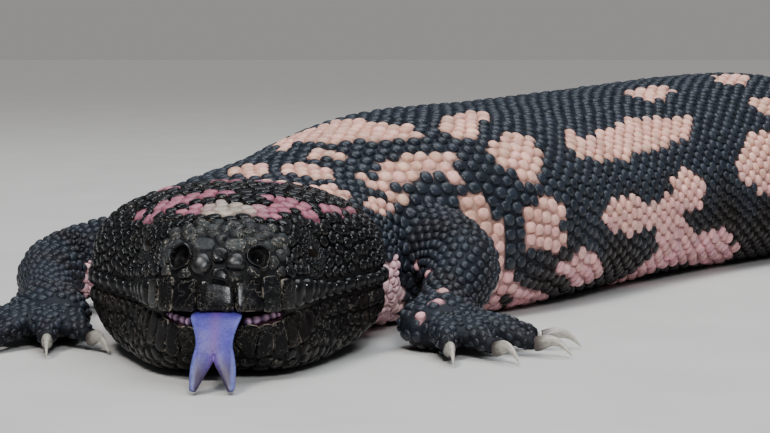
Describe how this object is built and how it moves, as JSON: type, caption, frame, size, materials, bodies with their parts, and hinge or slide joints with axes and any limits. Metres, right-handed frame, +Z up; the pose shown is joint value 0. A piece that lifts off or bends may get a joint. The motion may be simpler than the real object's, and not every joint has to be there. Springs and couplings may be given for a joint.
{
  "type": "gila monster",
  "caption": "Life-size gila monster lying flat with its head low, mouth ajar and forked tongue out, as a still museum model.",
  "frame": {"origin": "on the floor, on the flat of the belly under the middle of the trunk", "axes": "+Z up from the floor, -Y the way the head points, +X to the animal's left at the head"},
  "size_m": [0.2715, 0.4367, 0.0498],
  "materials": {
    "skin": "black beaded skin with pink and peach blotches, waxy sheen",
    "tongue": "wet lavender flesh",
    "gum": "wet pink gum",
    "eye": "glossy black",
    "claw": "pale grey horn"
  },
  "bodies": {
    "root": {"head": "skin", "lower_jaw": "skin", "neck": "skin", "chest": "skin", "midbody": "skin", "rump": "skin", "tail_base": "skin", "tail_middle": "skin", "tail_tip": "skin", "upper_arm_left": "skin", "forearm_left": "skin", "hand_left": "skin", "thigh_left": "skin", "shin_left": "skin", "foot_left": "skin", "upper_arm_right": "skin", "forearm_right": "skin", "hand_right": "skin", "thigh_right": "skin", "shin_right": "skin", "foot_right": "skin", "tongue": "tongue", "gum_left": "gum", "gum_right": "gum", "eye_left": "eye", "eye_right": "eye", "claw_hand_left_1": "claw", "claw_hand_left_2": "claw", "claw_hand_left_3": "claw", "claw_hand_left_4": "claw", "claw_hand_left_5": "claw", "claw_hand_right_1": "claw", "claw_hand_right_2": "claw", "claw_hand_right_3": "claw", "claw_hand_right_4": "claw", "claw_hand_right_5": "claw", "claw_foot_left_1": "claw", "claw_foot_left_2": "claw", "claw_foot_left_3": "claw", "claw_foot_left_4": "claw", "claw_foot_left_5": "claw", "claw_foot_right_1": "claw", "claw_foot_right_2": "claw", "claw_foot_right_3": "claw", "claw_foot_right_4": "claw", "claw_foot_right_5": "claw"}
  },
  "joints": []
}
